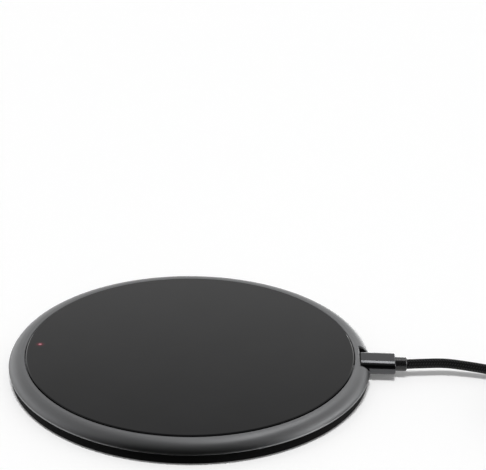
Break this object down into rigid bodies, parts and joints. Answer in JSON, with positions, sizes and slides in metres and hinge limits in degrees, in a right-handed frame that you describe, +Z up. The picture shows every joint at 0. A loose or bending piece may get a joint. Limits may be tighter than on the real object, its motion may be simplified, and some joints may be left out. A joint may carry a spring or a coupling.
{
  "type": "electric mug warmer",
  "caption": "Thin round electric mug warmer with a black glass plate, gunmetal trim ring, red indicator light and a detachable braided USB cord.",
  "frame": {"origin": "centre of the round base on the table, at the underside of the foot ring", "axes": "+Z up through the glass plate; +X from the indicator light through the centre to the USB-C socket; +Y to the left of someone looking along +X"},
  "size_m": [0.1906, 0.1118, 0.0196],
  "materials": {
    "ring_metal": "gunmetal, fine bead-blasted and anodised",
    "black_glass": "polished, printed black on the back",
    "adhesive": "matte",
    "case_plastic": "fine moulded texture",
    "liner_plastic": "fine moulded texture",
    "foot_silicone": "matte",
    "screw_steel": "black zinc",
    "board_laminate": "solder mask",
    "component_black": "moulded epoxy",
    "component_white": "matte",
    "component_tan": "matte",
    "mica_sheet": "pressed mica",
    "track_copper": "etched foil",
    "heater_film": "polyimide film",
    "plain_aluminium": "milled",
    "gap_filler": "soft pad",
    "red_light": "clear light guide, lit red",
    "socket_steel": "plated",
    "plug_metal": "gunmetal, satin anodised",
    "collar_rubber": "satin",
    "cord_braid": "woven nylon sleeve",
    "tie_silicone": "matte",
    "far_plug_plastic": "satin",
    "tongue_plastic": "moulded",
    "gold_contact": "gold flash"
  },
  "bodies": {
    "warmer": {"trim_ring": "ring_metal", "glass_plate": "black_glass", "plate_adhesive": "adhesive", "bottom_case": "case_plastic", "foot_ring": "foot_silicone", "case_screws": "screw_steel", "main_board": "board_laminate", "board_screws": "screw_steel", "control_chip": "component_black", "power_transistor": "component_black", "thermal_fuse": "component_white", "filter_capacitors": "component_tan", "sense_resistors": "component_black", "insulation_disc": "mica_sheet", "heater_track": "track_copper", "heater_film": "heater_film", "heat_spreader": "plain_aluminium", "heater_leads": "track_copper", "thermistor": "component_tan", "thermal_pad": "gap_filler", "indicator_led": "component_white", "light_guide": "red_light", "port_liner": "liner_plastic", "socket_shell": "socket_steel", "socket_tongue": "liner_plastic"},
    "cord": {"plug_tip": "socket_steel", "plug_core": "liner_plastic", "plug_housing": "plug_metal", "plug_collar": "collar_rubber", "cord_lead": "cord_braid", "cord_coil": "cord_braid", "cord_tail": "cord_braid", "cord_tie": "tie_silicone", "usb_a_relief": "collar_rubber", "usb_a_housing": "far_plug_plastic", "usb_a_shell": "socket_steel", "usb_a_tongue": "tongue_plastic", "usb_a_contacts": "gold_contact"}
  },
  "joints": [
    {"name": "plug_slide", "type": "slide", "parent": "warmer", "child": "cord", "axis": [1, 0, 0], "range_m": [0, 0.012]}
  ]
}
